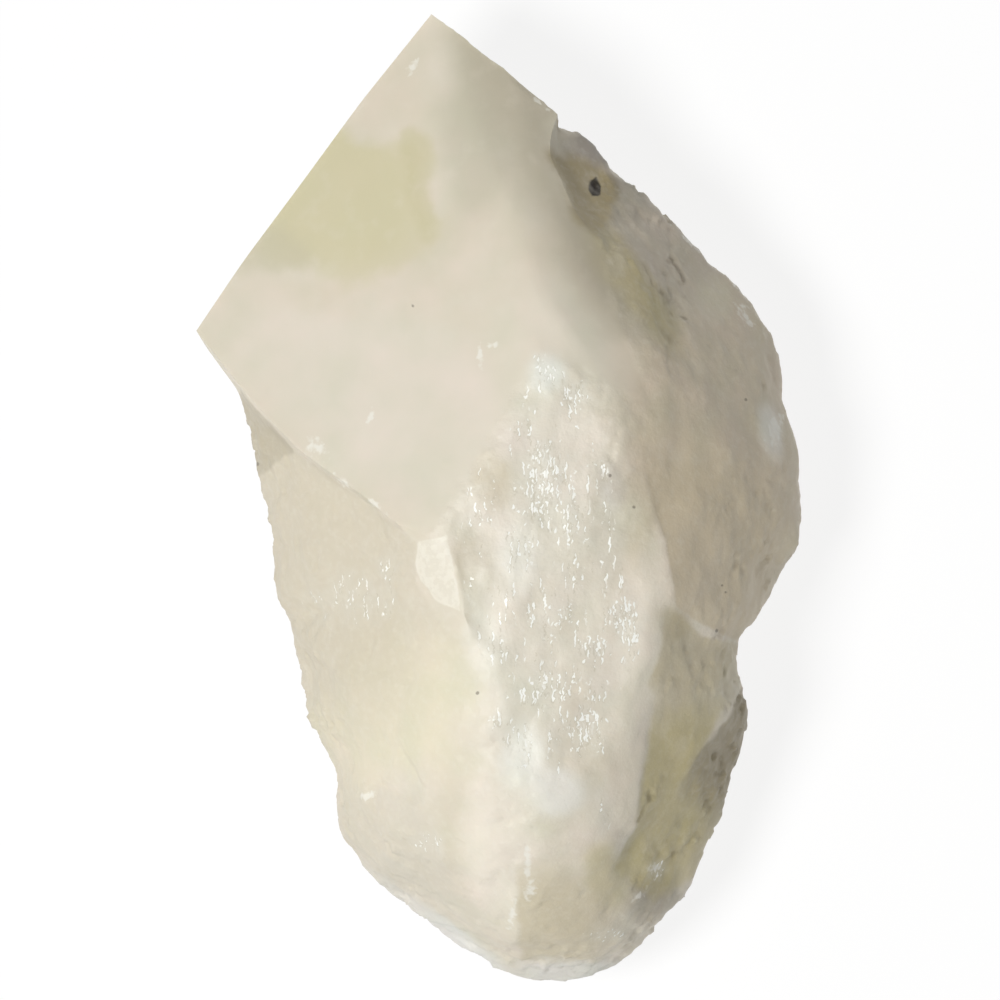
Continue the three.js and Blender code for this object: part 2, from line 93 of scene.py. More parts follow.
class Sheet:
    # one material's node sheet
    def __init__(self, name):
        self.material = bpy.data.materials.new(name)
        self.material.use_nodes = True
        self.tree = self.material.node_tree
        self.tree.nodes.clear()

    def add(self, kind, settings=None, sockets=None, out=0):
        node = self.tree.nodes.new(kind)
        for key, value in (settings or {}).items():
            setattr(node, key, value)
        for key, value in (sockets or {}).items():
            if isinstance(value, Value):
                self.tree.links.new(value.socket, node.inputs[key])
            else:
                node.inputs[key].default_value = value
        return Value(self, node.outputs[out])

    def moved(self, scale=(1, 1, 1), shift=0.0):
        # where a point is, in millimetres times the scale, plus a shift
        where = self.add("ShaderNodeTexCoord", out="Object")
        factors = tuple(factor / mm for factor in scale)
        sockets = {0: where, 1: factors, 2: (shift, shift, shift)}
        return self.add("ShaderNodeVectorMath", {"operation": "MULTIPLY_ADD"}, sockets)

    def hills(self, size, detail, shift):
        # noise between 0 and 1, its hills about this many millimetres wide
        spot = self.moved((1 / size,) * 3, shift)
        return self.add("ShaderNodeTexNoise", None, {"Vector": spot, "Scale": 1.0, "Detail": detail})

    def cells(self, size, stretch, shift=0.0):
        # a net of bent small cells: how far from its middle a point is, and a random number a cell
        spot = self.moved(tuple(factor / size for factor in stretch), shift)
        waves = self.moved((cellBend["wavesPerMm"],) * 3)
        bend = self.add("ShaderNodeTexNoise", None, {"Vector": waves, "Detail": 1.0})
        bent = {0: Value(self, bend.socket.node.outputs["Color"]), 1: cellBend["reach"], 2: spot}
        spot = self.add("ShaderNodeVectorMath", {"operation": "MULTIPLY_ADD"}, bent)
        distance = self.add("ShaderNodeTexVoronoi", None, {"Vector": spot, "Scale": 1.0})
        return distance, Value(self, distance.socket.node.outputs["Color"])

    def stored(self, name):
        return self.add("ShaderNodeAttribute", {"attribute_name": name}, out="Fac")

    def mixed(self, mask, under, over):
        settings = {"data_type": "RGBA", "clamp_factor": True}
        return self.add("ShaderNodeMix", settings, {0: mask, 6: under, 7: over}, out=2)

    def show(self, shader):
        output = self.tree.nodes.new("ShaderNodeOutputMaterial")
        self.tree.links.new(shader.socket, output.inputs["Surface"])
        return self.material


def paint(red, green, blue):
    # a screen colour of 0 to 255 as the shader's own numbers, by the sRGB curve
    return (*(((level / 255 + 0.055) / 1.055) ** 2.4 for level in (red, green, blue)), 1.0)


# where things are on the crystal, seen from above with the tip away, in millimetres
outlines = {
    "cutTip": [
        (-37.7, 20.8), (-8.5, 60.0), (7.1, 47.4), (6.1, 42.0), (8.3, 37.3), (12.4, 31.7),
        (14.2, 23.4), (17.5, 14.8), (18.3, 11.1), (7.4, 17.0), (1.6, 13.5), (-0.8, 8.2),
        (-5.4, 0.8), (-8.0, -3.4), (-10.1, -5.0), (-17.3, 0.8), (-24.9, 6.1), (-32.0, 13.7),
    ],
    "kite": [
        (-37.7, 20.8), (-8.5, 60.0), (-3.7, 44.4), (2.5, 29.6), (4.4, 20.9), (1.6, 13.5),
        (-0.8, 8.2), (-5.4, 0.8), (-8.0, -3.4), (-10.1, -5.0), (-17.3, 0.8), (-24.9, 6.1),
        (-32.0, 13.7),
    ],
    "scar": [
        (3.7, 19.1), (7.4, 16.6), (11.4, 12.3), (13.1, 7.4), (14.6, -0.1), (16.3, -7.5),
        (17.8, -13.9), (17.6, -19.2), (14.6, -24.8), (12.4, -30.3), (7.4, -34.7), (2.5, -33.5),
        (-1.1, -22.6), (-3.3, -17.4), (-4.5, -13.8), (-5.4, -8.1), (-6.4, -4.5), (-5.5, -0.1),
        (-1.2, 3.6), (1.0, 10.0),
    ],
    "facet": [
        (-10.1, -5.0), (-6.4, -4.1), (-5.6, -8.1), (-4.7, -13.8), (-6.4, -13.0), (-8.0, -12.0),
        (-9.7, -9.9), (-10.2, -8.3),
    ],
}

# folds with no edge of their own, which melt into what lies beside them
softLines = {
    "kiteRight": [(-8.0, -3.4), (-5.4, 0.8), (-3.6, 4.3), (-0.8, 8.2), (1.6, 13.5), (4.4, 20.9)],
    "scarFoot": [(-3.3, -17.8), (-1.1, -22.6), (0.5, -27.0), (2.5, -33.2)],
    "scarTop": [(1.6, 13.5), (4.4, 19.0), (7.4, 17.0), (11.4, 12.3)],
    "facetTop": [(-10.1, -5.0), (-8.0, -4.6), (-6.4, -4.5)],
    "overhang": [(21.3, -12.9), (23.4, -14.5), (25.4, -15.6), (27.2, -16.4), (29.2, -17.4)],
    "tipTurn": [(-2.0, 50.0), (3.7, 38.0), (8.0, 26.0), (11.9, 21.6), (18.0, 11.1)],
    "shoulderTop": [(19.6, 32.6), (21.4, 29.4), (22.8, 24.0)],
}

crispLines = {
    "tipEdge": [
        (-37.7, 20.8), (-31.9, 29.4), (-24.7, 39.0), (-17.3, 49.1), (-8.5, 60.0), (-1.8, 54.8),
        (7.1, 47.4), (6.1, 44.4), (6.1, 42.0), (7.7, 38.9), (9.1, 35.5), (12.4, 31.7),
    ],
    "ledge": [
        (-37.7, 20.8), (-32.0, 13.7), (-28.4, 9.7), (-24.9, 6.1), (-17.3, 0.8), (-13.6, -2.3),
        (-10.1, -5.0),
    ],
    "scarLeft": [(-6.4, -4.5), (-5.4, -8.1), (-4.5, -13.8), (-3.9, -15.6)],
    "facetFoot": [(-9.6, -5.6), (-10.1, -8.5), (-8.6, -10.7), (-6.6, -12.8), (-4.5, -13.8)],
    "strip": [(17.0, 6.7), (18.0, 2.4), (18.7, -0.9), (20.1, -5.0), (20.8, -9.3), (21.3, -12.9)],
    "frontEdge": [(19.7, -12.9), (19.2, -19.2), (17.3, -22.8), (15.8, -25.5)],
    "panelDiagonal": [(27.5, -27.0), (23.6, -32.4), (22.3, -35.4), (19.2, -39.6), (15.8, -43.3)],
    "block": [(-8.6, -36.4), (-7.9, -40.4), (-6.8, -44.6), (-4.5, -48.5), (-2.4, -52.2)],
    "rootStep": [(1.6, -47.0), (1.8, -50.5), (2.0, -54.2)],
}

# broken planes, stains, and patches of painted shade and light, with an edge: outline, colour, how
# much of it, the depth in from the outline where it starts and is full, and how far its edge
# wanders. Some are sunk into the stone, fade out round a middle, or fade out lower down the sides:
# the heights where they end and are full.
planes = {
    # the left side below the ledge, painted darker: partly its own pinkish tone, partly painted
    # shade
    "leftSide": {
        "outline": [
            (-31.7, 13.2), (-24.9, 6.1), (-17.3, 0.8), (-13.6, -2.3), (-10.1, -5.0), (-10.1, -10.0),
            (-2.0, -22.0), (-2.0, -40.0), (-40.0, -40.0), (-40.0, 10.0),
        ],
        "paint": paint(205, 196, 175), "amount": 0.85, "edge": (-0.1, 0.6), "wander": 0.2,
        "fade": {"at": (-22, -6), "size": (15, 26), "turn": 10},
    },
    # painted shadow in the triangle under the ledge of the cut face
    "ledgeShadow": {
        "outline": [(-31.9, 13.6), (-24.9, 6.1), (-29.6, 2.9), (-36.0, 2.0), (-36.0, 12.0)],
        "paint": paint(184, 175, 153), "amount": 0.8, "edge": (-0.1, 0.5), "wander": 0.8,
    },
    # painted shade on the cut tip where it turns away from the light
    "tipTurn": {
        "outline": [
            (-6.0, 59.0), (-1.2, 48.0), (3.7, 38.0), (9.3, 29.6), (13.6, 21.0), (17.3, 21.0),
            (12.4, 31.7), (9.0, 35.5), (6.1, 42.0), (6.3, 46.0), (8.0, 48.5), (2.0, 58.0),
        ],
        "paint": paint(184, 176, 155), "amount": 0.8, "edge": (-4.0, 2.5), "wander": 1.5,
    },
    # painted shade: the shoulder right of the strip is painted darker where it turns from the light,
    # besides being sunk a little
    "lowerShoulder": {
        "outline": [
            (11.0, 24.0), (15.4, 13.0), (17.0, 6.7), (18.0, 2.4), (18.7, -0.9), (20.1, -5.0),
            (20.8, -9.3), (21.3, -13.0), (23.4, -14.6), (27.2, -16.5), (29.4, -17.6),
            (42.0, -12.0), (42.0, 24.0),
        ],
        "paint": paint(205, 191, 163), "amount": 0.85, "edge": (-0.15, 0.4), "wander": 0.4,
        "sunk": 0.1, "height": (13, 24),
        "fade": {"at": (25, -8), "size": (15, 17), "turn": 0},
    },
    "olivePanel": {
        "outline": [
            (18.4, -24.8), (20.4, -19.0), (24.7, -17.6), (31.5, -21.0), (27.5, -27.0),
            (26.0, -30.0), (31.0, -36.0), (27.0, -46.0), (19.0, -50.0), (13.5, -45.5),
            (16.3, -40.8), (17.3, -33.4), (17.9, -29.1),
        ],
        "paint": paint(186, 174, 124), "amount": 0.8, "edge": (-0.2, 1.0), "wander": 0.8,
        "sunk": 0.2,
        "fade": {"at": (21, -37), "size": (9, 16), "turn": -20},
    },
    # painted shade on the steep lower flank that faces away from the light
    "flankShade": {
        "outline": [
            (31.0, -21.5), (27.5, -27.0), (25.2, -30.2), (23.6, -32.4), (22.2, -35.4),
            (19.5, -39.5), (15.8, -43.5), (22.0, -52.0), (40.0, -40.0), (40.0, -24.0),
        ],
        "paint": paint(156, 145, 118), "amount": 0.9, "edge": (-0.2, 0.5), "wander": 0.6,
        "fade": {"at": (28.5, -30), "size": (8, 12), "turn": 20}, "height": (4, 12),
    },
    "rootRight": {
        "outline": [
            (1.6, -45.0), (1.9, -53.8), (2.6, -57.0), (12.4, -57.6), (18.0, -54.0),
            (18.5, -44.6), (12.4, -40.0), (6.2, -42.0),
        ],
        "paint": paint(205, 194, 166), "amount": 0.8, "edge": (-0.2, 0.9), "wander": 1.0,
        "fade": {"at": (5, -53), "size": (10, 9), "turn": 0},
    },
    # the pocket behind the tip: partly its own olive tone, partly painted shade in the recess
    "pocket": {
        "outline": [
            (5.6, 43.0), (9.0, 42.4), (11.9, 41.2), (13.8, 40.0), (14.4, 37.6), (13.6, 34.6),
            (12.0, 32.2), (9.1, 34.0), (7.7, 38.9), (5.6, 42.0),
        ],
        "paint": paint(168, 154, 118), "amount": 0.85, "edge": (-0.8, 0.9), "wander": 1.0,
    },
    # painted shade: the pit is painted near black
    "pit": {
        "outline": [
            (11.2, 39.4), (11.9, 39.8), (12.5, 38.7), (12.4, 37.4), (11.3, 37.2), (10.9, 38.2),
        ],
        "paint": paint(26, 20, 14), "amount": 0.95, "edge": (-0.05, 0.25), "wander": 0.5,
    },
    # painted shadow under the overhang, at the top of the lower panel
    "panelTopShadow": {
        "outline": [
            (19.4, -12.9), (19.7, -15.0), (19.7, -17.7), (18.9, -19.8), (17.6, -22.7),
            (19.9, -25.5), (23.5, -24.8), (29.1, -23.5), (33.0, -20.0), (29.4, -17.4),
            (24.7, -16.4), (21.7, -13.9),
        ],
        "paint": paint(200, 188, 156), "amount": 0.8, "edge": (-0.1, 0.6), "wander": 0.5,
        "fade": {"at": (22.5, -19), "size": (8, 6), "turn": 0}, "height": (14, 24),
    },
    "stain": {
        "outline": [
            (-17.6, 45.7), (-16.8, 45.2), (-15.2, 45.4), (-13.3, 44.8), (-12.0, 46.0),
            (-10.4, 46.2), (-8.5, 44.7), (-7.9, 42.9), (-9.0, 38.6), (-8.2, 35.9), (-4.9, 35.4),
            (-6.0, 31.7), (-8.2, 29.5), (-12.4, 26.8), (-19.5, 24.7), (-23.2, 27.4),
            (-27.5, 27.4), (-31.2, 29.5), (-36.0, 33.0), (-24.0, 47.0), (-19.5, 47.0),
        ],
        "paint": paint(204, 197, 159), "amount": 0.78, "edge": (-0.4, 2.6), "wander": 2.2,
        "fade": {"at": (-20, 38), "size": (15, 13), "turn": -40},
    },
    "stainLobe": {
        "outline": [
            (-12.6, 46.0), (-10.4, 46.6), (-8.2, 45.0), (-7.4, 42.9), (-8.0, 38.6), (-7.2, 34.2),
            (-7.7, 30.1), (-10.2, 31.7), (-11.8, 37.2), (-13.0, 42.2),
        ],
        "paint": paint(197, 190, 150), "amount": 0.55, "edge": (-0.4, 1.6), "wander": 1.2,
    },
    "stainFoot": {
        "outline": [
            (-33.5, 27.6), (-27.5, 26.8), (-23.2, 27.0), (-21.0, 29.4), (-23.4, 32.7),
            (-26.5, 34.9), (-36.0, 36.0),
        ],
        "paint": paint(196, 190, 162), "amount": 0.55, "edge": (-0.3, 2.6), "wander": 1.4,
    },
    "lowBlock": {
        "outline": [
            (-19.0, -34.7), (-12.4, -35.0), (-9.0, -36.5), (-7.4, -40.8), (-5.5, -45.2),
            (-3.7, -50.1), (-3.0, -56.0), (-24.0, -50.0), (-24.0, -36.0),
        ],
        "paint": paint(210, 203, 186), "amount": 0.6, "edge": (-0.4, 1.8), "wander": 1.2,
        "fade": {"at": (-11, -42), "size": (10, 11), "turn": 0},
    },
    # painted light: the small facet is painted brighter where it faces the key light
    "facet": {
        "outline": outlines["facet"],
        "paint": paint(232, 227, 212), "amount": 0.85, "edge": (-0.1, 0.2), "wander": 0.5,
    },
}

skin = {                       # the crystal's mesh, mm
    "cutTip": 1.6,             # longest edge on each surface
    "scar": 0.6,
    "front": 0.8,
    "back": 1.2,
    "frontFrom": 12,           # the front's fine mesh reaches down to this height
    "tipInset": 0.6,           # the cut tip's longer edges start this far in from its outline
    "scarMargin": 0.5,         # the scar's short edges reach this far past its outline
    "scarFrom": 38,            # and down to this height
    "splits": 6,
    "merge": 0.005,            # points nearer than this become one
    "crispFrom": 33,           # an edge of the solid that turns more degrees than this stays crisp
    "lineReach": 0.6,          # an edge of the solid this near a crisp line is on it
    "linesFrom": 17,           # crisp lines and soft folds lie above this height
    "farOff": 9.0,             # counts as far from every line
    "kiteInset": 3.0,          # the kite is flat from this far inside its outline
    "restingTo": 0.05,         # points lower than this stay on the floor
}

wear = {                       # rounding, which pulls each point toward the middle of its neighbours
    "rounds": 14,
    "pull": 0.6,
    "straighten": 0.5,         # pull of a crisp edge along itself
    "crispReach": 1.6,         # wear fades out this near a crisp line, mm
    "softRounds": 30,
    "softReach": 3.0,          # soft folds wear down this far to each side, mm
}

# where one kind of surface starts and is full
borders = {
    "front": (-0.2, 0.2),      # by how far the surface faces up
    "cut": (-0.2, 0.6),        # by the depth inside its outline, mm
    "facet": (-0.3, 0.3),
    "scar": (-0.6, 1.6),
    "scarHeight": (37, 40),
    "resting": (0.4, 0.0),
    "topSide": (15, 18),
    "shoulder": (14, 20),      # by the way across, less this share of the way to the tip
    "shoulderSlant": 0.25,
    "steep": (0.8, 0.4),       # by how far the surface faces up or down
    "rimHeight": (9, 14),
    "raggedRoot": (-14, -24),  # the shoulder's rim is calm down to here, and ragged from there on
    "calm": (0.0, 2.5),        # by the distance to a crisp line
    "plane": (-0.1, 0.4),
    "planeHeight": (6, 20),
    "planeFade": {"soft": 1.2, "solid": 0.5},
    "sunk": (0.0, 0.6),
    "sunkRim": (7.0, 0.6),     # by the distance to the scar's left rim
    "keptEdge": (0.2, 1.2),    # by the distance to the straight edges of the cut tip
}

grain = {                      # relief of the broken surfaces, mm
    "hummock": {"depth": 0.22, "size": 4.5},
    "sugar": {"depth": 0.13, "size": 1.1},
    "scarStep": {"depth": 0.05, "size": 0.9, "drawnOut": 3.0, "shift": 9.0},
    "scarWave": {"depth": 0.05, "size": 4.5, "drawnOut": 1.6, "octaves": 2, "shift": 6.0},
    "shoulder": {"depth": 0.16, "size": 6.0, "octaves": 2, "shift": 4.0},
    "planes": {"depth": 0.4, "size": 5.5, "shift": 3.0},
    "rim": {"depth": 0.7, "size": 1.7, "shift": 5.0},
    "rimPatches": {"size": 11, "octaves": 2, "shift": 5.0},
    "rimPatchEdge": (-0.2, 0.2),
    "rimLeast": 0.4,           # share of the rim's relief that is left between its patches
    "flakeLean": 3.7,          # these two pick each flake's own lean and height
    "flakeHeight": 5.3,
    "flakeStep": 0.6,          # how much of a flake is its height rather than its lean
    "scarSunk": 0.12,          # how far the scar lies under its left rim
}

# the shoulder is smoother than the rest: share of each relief that it lacks
smoothShoulder = {"planes": 0.85, "sugar": 0.6, "rim": 0.5}


def distanceToLines(points, lines):
    spots = points[:, :2]
    nearest = np.full(len(spots), np.inf)
    for line in map(np.array, lines):
        for start, end in zip(line[:-1], line[1:]):
            along = end - start
            share = np.clip((spots - start) @ along / (along @ along), 0, 1)
            away = np.linalg.norm(spots - start - share[:, None] * along, axis=1)
            nearest = np.minimum(nearest, away)
    return nearest


def depthInside(points, outline):
    # how far inside an outline each point is, in plan; negative outside
    across, up = points[:, 0], points[:, 1]
    within = np.zeros(len(points), bool)
    for (x1, y1), (x2, y2) in zip(outline, outline[1:] + outline[:1]):
        if y1 != y2:
            crosses = (y1 > up) != (y2 > up)
            within ^= crosses & (across < x1 + (up - y1) / (y2 - y1) * (x2 - x1))
    nearest = distanceToLines(points, [outline + outline[:1]])
    return np.where(within, nearest, -nearest)


def ease(values, low, high):
    # 0 up to low, 1 from high on and smooth between; with low over high it falls
    share = np.clip((values - low) / (high - low), 0, 1)
    return share * share * (3 - 2 * share)


def splitLongEdges(bm):
    for _ in range(skin["splits"]):
        middles = np.array([(e.verts[0].co + e.verts[1].co) / 2 for e in bm.edges]) / mm
        lengths = np.array([edge.calc_length() for edge in bm.edges]) / mm
        high = middles[:, 2] > skin["frontFrom"]
        onTip = high & (depthInside(middles, outlines["cutTip"]) > skin["tipInset"])
        inScar = depthInside(middles, outlines["scar"]) > -skin["scarMargin"]
        inScar &= middles[:, 2] > skin["scarFrom"]
        limits = np.where(high, skin["front"], skin["back"])
        limits = np.where(onTip, skin["cutTip"], limits)
        limits = np.where(inScar, skin["scar"], limits)
        chosen = [edge for edge, long in zip(bm.edges, lengths > limits) if long]
        bmesh.ops.subdivide_edges(bm, edges=chosen, cuts=1)
        bmesh.ops.triangulate(bm, faces=[face for face in bm.faces if len(face.verts) > 3])


def refinedCopy(node, name):
    bm = bmesh.new()
    bm.from_mesh(node.data)
    bmesh.ops.remove_doubles(bm, verts=bm.verts, dist=skin["merge"] * mm)
    bend = math.radians(skin["crispFrom"])
    for edge in bm.edges:
        edge.smooth = edge.calc_face_angle(0) < bend
    splitLongEdges(bm)
    mesh = bpy.data.meshes.new(name)
    bm.to_mesh(mesh)
    bm.free()
    body = bpy.data.objects.new(name, mesh)
    bpy.context.scene.collection.objects.link(body)
    return body


def pointsOf(mesh):
    flat = np.empty(3 * len(mesh.vertices))
    mesh.vertices.foreach_get("co", flat)
    return flat.reshape(-1, 3) / mm


def setPoints(mesh, points):
    mesh.vertices.foreach_set("co", (points * mm).ravel())
    mesh.update()


def normalsOf(mesh):
    flat = np.empty(3 * len(mesh.vertices))
    mesh.vertices.foreach_get("normal", flat)
    return flat.reshape(-1, 3)


def edgesOf(mesh):
    pairs = np.empty(2 * len(mesh.edges), int)
    mesh.edges.foreach_get("vertices", pairs)
    crisp = np.zeros(len(mesh.edges), bool)
    if "sharp_edge" in mesh.attributes:
        mesh.attributes["sharp_edge"].data.foreach_get("value", crisp)
    return pairs.reshape(-1, 2), crisp


def pulled(points, edges, amounts):
    # each point part of the way to the middle of its neighbours
    total = np.zeros_like(points)
    np.add.at(total, edges[:, 0], points[edges[:, 1]])
    np.add.at(total, edges[:, 1], points[edges[:, 0]])
    count = np.bincount(edges.ravel(), minlength=len(points)).clip(1)
    return points + amounts[:, None] * (total / count[:, None] - points)


def wearFacets(mesh):
    # the solid's flat triangles melt together, its crisp edges only straighten along themselves
    points = pointsOf(mesh)
    edges, crisp = edgesOf(mesh)
    middles = points[edges].mean(1)
    onLine = distanceToLines(middles, crispLines.values()) < skin["lineReach"]
    crisp &= onLine | (middles[:, 2] < skin["frontFrom"])
    mesh.attributes["sharp_edge"].data.foreach_set("value", crisp)
    onCrisp = np.bincount(edges[crisp].ravel(), minlength=len(points))
    front = points[:, 2] > skin["linesFrom"]
    toCrisp = np.where(front, distanceToLines(points, crispLines.values()), skin["farOff"])
    pull = wear["pull"] * ease(toCrisp, 0.0, wear["crispReach"])
    pull[onCrisp > 0] = 0.0
    flat = depthInside(points, outlines["kite"]) > skin["kiteInset"]
    resting = points[:, 2] < skin["restingTo"]
    pull[flat & front | resting] = 0.0
    straighten = np.where(onCrisp == 2, wear["straighten"], 0.0)
    for _ in range(wear["rounds"]):
        points = pulled(points, edges, pull)
        points = pulled(points, edges[crisp], straighten)
    toSoft = np.where(front, distanceToLines(points, softLines.values()), skin["farOff"])
    pull = wear["pull"] * ease(toSoft, wear["softReach"], 0.0)
    for _ in range(wear["softRounds"]):
        points = pulled(points, edges, pull)
    setPoints(mesh, points)


def noiseSpots(points, size, shift, drawnOut):
    return points / (size * np.array((1, drawnOut, 1))) + shift


def hills(points, size, depth=1.0, octaves=3, shift=0.0, drawnOut=1.0):
    # rolling noise, each octave half as wide and half as high as the one before
    spots = noiseSpots(points, size, shift, drawnOut)
    return depth * np.array([noise.fractal(Vector(spot), 1.0, 2.0, octaves) for spot in spots])


def flakes(points, size, depth=1.0, shift=0.0, drawnOut=1.0):
    # small flat faces, each with its own height and lean
    heights = []
    for spot in map(Vector, noiseSpots(points, size, shift, drawnOut)):
        centre = noise.voronoi(spot)[1][0]
        lean = noise.noise_vector(centre * grain["flakeLean"])
        height = grain["flakeStep"] * noise.noise(centre * grain["flakeHeight"])
        heights.append(lean.dot(spot - centre) + height)
    return depth * np.array(heights)


def surfacesAt(points, outward):
    # how much of each kind of surface a point is on, from 0 to 1
    front = ease(outward[:, 2], *borders["front"])
    scar = ease(depthInside(points, outlines["scar"]), *borders["scar"])
    scar *= ease(points[:, 2], *borders["scarHeight"])
    facet = ease(depthInside(points, outlines["facet"]), *borders["facet"]) * front
    cut = ease(depthInside(points, outlines["cutTip"]), *borders["cut"]) * front * (1 - scar)
    resting = ease(points[:, 2], *borders["resting"])
    broken = (1 - cut) * (1 - facet) * (1 - resting)
    across = points[:, 0] - borders["shoulderSlant"] * points[:, 1]
    return cut, scar, broken, ease(across, *borders["shoulder"])


def rimAt(points, outward, shoulder):
    # how ragged the steep rim is
    rim = ease(np.abs(outward[:, 2]), *borders["steep"]) * ease(points[:, 2], *borders["rimHeight"])
    calm = 1 - ease(points[:, 1], *borders["raggedRoot"])
    patches = ease(hills(points, **grain["rimPatches"]), *grain["rimPatchEdge"])
    rim *= 1 - smoothShoulder["rim"] * shoulder * calm
    return rim * (grain["rimLeast"] + (1 - grain["rimLeast"]) * patches)


def reliefAt(points, outward, scar, broken, shoulder):
    calm = ease(distanceToLines(points, crispLines.values()), *borders["calm"])
    rim = rimAt(points, outward, shoulder)
    rough = 1 - smoothShoulder["planes"] * shoulder
    sugary = 1 - smoothShoulder["sugar"] * shoulder
    lift = hills(points, **grain["hummock"])
    lift += calm * (1 - scar) * rough * flakes(points, **grain["planes"])
    lift += calm * rim * flakes(points, **grain["rim"])
    lift += (1 - scar) * sugary * flakes(points, **grain["sugar"])
    lift += shoulder * hills(points, **grain["shoulder"])
    lift *= broken
    toRim = distanceToLines(points, [crispLines["scarLeft"]])
    sunk = ease(depthInside(points, outlines["scar"]), *borders["sunk"])
    sunk *= ease(toRim, *borders["sunkRim"]) * grain["scarSunk"]
    steps = flakes(points, **grain["scarStep"]) + hills(points, **grain["scarWave"])
    return lift + scar * (steps - sunk)


def needlesAt(points, scar):
    # how crowded the bright needles are
    crowd = scar * (needles["scattered"] + hills(points, **needles["scatter"]))
    ragged = hills(points, **needles["ragged"])
    for across, up, wide, high, share in needleBeds:
        bed = spotMask(points, (across, up), (wide, high), 0, *needles["bedEdge"], ragged)
        crowd = np.maximum(crowd, share * bed)
    return crowd * ease(points[:, 2], *borders["topSide"])


def storeNumbers(mesh, numbers):
    for name, values in numbers.items():
        layer = mesh.attributes.new(name, "FLOAT", "POINT")
        layer.data.foreach_set("value", values.clip(-skin["farOff"], skin["farOff"]))


def roughen(mesh):
    # lifts the points and stores what the material asks of each of them
    points = pointsOf(mesh)
    outward = normalsOf(mesh)
    cut, scar, broken, shoulder = surfacesAt(points, outward)
    lift = reliefAt(points, outward, scar, broken, shoulder)
    marks = {
        "cutFace": cut,
        "scarFace": scar,
        "needleBed": needlesAt(points, scar),
        "topSide": ease(points[:, 2], *borders["topSide"]),
    }
    for name, plane in planes.items():
        depth = depthInside(points, plane["outline"])
        fade = ease(points[:, 2], *plane.get("height", borders["planeHeight"]))
        if "fade" in plane:
            fade *= spotMask(points, **plane["fade"], **borders["planeFade"])
        lift -= broken * fade * ease(depth, *borders["plane"]) * plane.get("sunk", 0)
        marks[name] = depth
        marks[name + "Fade"] = fade
    straightEdges = [crispLines["tipEdge"][:5], crispLines["ledge"]]
    lift *= ease(distanceToLines(points, straightEdges), *borders["keptEdge"])
    setPoints(mesh, points + lift[:, None] * outward)
    storeNumbers(mesh, marks)
    layer = mesh.attributes.new("tint", "FLOAT_COLOR", "POINT")
    layer.data.foreach_set("color", tintOf(points).ravel().astype(np.float32))


quartz = {                     # how the stone looks
    "milk": paint(214, 205, 185),
    "cloud": paint(223, 216, 200),
    "frostAndGlint": paint(238, 236, 226),
    # white of the frosty sugar flecks, and of the painted glint highlights
    "haze": paint(226, 228, 220),
    "speck": paint(84, 72, 56),
    "clouds": {"depth": 0.35, "size": 14.0, "octaves": 4, "shift": 2.0},
    "cloudEdge": (-0.2, 0.25),
    "cloudShare": 0.6,
    "mood": (0.06, 0.03, 0.06, 0.0),       # how far its colour drifts between pinkish and green
    "moods": {"size": 6.0, "octaves": 3, "shift": 9.0},
    "zoneEdge": {"soft": 1.35, "solid": 0.55},
    "zoneShare": 0.85,
    "zoneHeight": (5, 15),                 # zones fade out down the sides
    "patches": {"size": 3.2, "detail": 4, "shift": 3.0},
    "patchTint": {"edge": (0.5, 0.75), "share": 0.2},
    "sugar": {"size": 0.9, "detail": 2, "shift": 7.0},
    "sugarTint": {"edge": (0.45, 0.75), "share": 0.1},
    "facetMottle": {"edge": (0.42, 0.6), "inward": (-0.1, 0.4), "share": 0.3},
    "roughness": 0.4,
    "roughPatches": 0.2,
    "fine": {"size": 0.45, "detail": 2, "shift": 2.0},
    "fineBump": {"height": 0.12 * mm, "strength": 0.35, "onCut": 0.15},
    "refraction": 1.54,
    "shine": 0.35,
    "glow": 0.22,                          # share of light that goes in and comes out elsewhere
    "glowReach": (0.0014, 0.0012, 0.0009),
}

needles = {                    # bright needles and flakes of broken quartz, their white partly painted glitter where they catch the light, with painted shadow beside each needle; sizes in mm
    "paint": paint(252, 252, 246),
    "shadowPaint": paint(176, 166, 138),
    "share": 0.95,
    "shadowShare": 0.3,
    "hazeShare": 0.3,
    "thin": {"size": 0.3, "stretch": (1, 0.13, 1)},
    "thinCrowd": 0.7,          # how much a bed adds to a cell's chance
    "thinChance": (1.0, 1.12),
    "thinReach": (0.56, 0.34),
    "shadowReach": (0.85, 0.6),
    "flake": {"size": 0.55, "stretch": (1, 0.6, 1), "shift": 5.0},
    "flakeCrowd": 0.46,
    "flakeChance": (1.0, 1.08),
    "flakeReach": (0.42, 0.24),
    "gloss": 0.25,             # how much smoother they are
    "scattered": 0.36,         # how crowded they are in the scar outside their beds
    "scatter": {"depth": 0.3, "size": 2.4, "shift": 1.0},
    "ragged": {"depth": 0.5, "size": 1.6, "octaves": 2, "shift": 8.0},
    "bedEdge": (1.3, 0.3),
}
